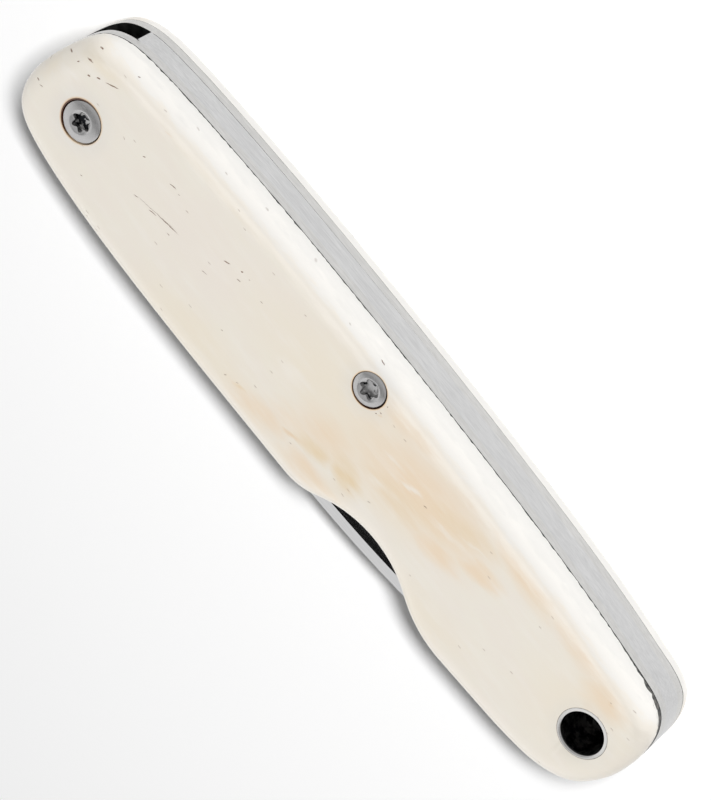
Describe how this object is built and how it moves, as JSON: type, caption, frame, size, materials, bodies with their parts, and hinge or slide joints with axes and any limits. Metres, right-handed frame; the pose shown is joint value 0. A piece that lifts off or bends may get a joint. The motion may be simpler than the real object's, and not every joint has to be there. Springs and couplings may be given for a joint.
{
  "type": "folding pocket knife",
  "caption": "Slip-joint folding pocket knife, closed, with bone scales over steel liners, a backspring, a drop-point blade and a lanyard tube.",
  "frame": {"origin": "middle of the closed knife's base, where its rear scale lies on a table", "axes": "+X along the handle from the pivot end to the butt, +Y towards the spine, +Z out of the front scale"},
  "size_m": [0.1, 0.0234, 0.0109],
  "materials": {
    "bone": "polished smooth bone, cream with tan stains and fine brown pits along its length",
    "liner_steel": "ground flush, fine lengthwise grain",
    "spring_steel": "ground flush with the liners, fine lengthwise grain",
    "blade_steel": "satin flats with polished hollow-ground bevels",
    "screw_steel": "bead-blasted satin",
    "tube_steel": "bright turned rim",
    "bronze": "plain phosphor bronze"
  },
  "bodies": {
    "handle": {"front_scale": "bone", "rear_scale": "bone", "front_liner": "liner_steel", "rear_liner": "liner_steel", "backspring": "spring_steel", "front_washer": "bronze", "rear_washer": "bronze", "pivot_barrel": "screw_steel", "spring_barrel": "screw_steel", "front_pivot_screw": "screw_steel", "rear_pivot_screw": "screw_steel", "front_spring_screw": "screw_steel", "rear_spring_screw": "screw_steel", "lanyard_tube": "tube_steel"},
    "blade": {"blade": "blade_steel"}
  },
  "joints": [
    {"name": "blade_hinge", "type": "hinge", "parent": "handle", "child": "blade", "pos_m": [-0.0418, -0.00022, 0.00534], "axis": [0, 0, -1], "range_deg": [0, 180], "deforming": ["backspring"]}
  ]
}
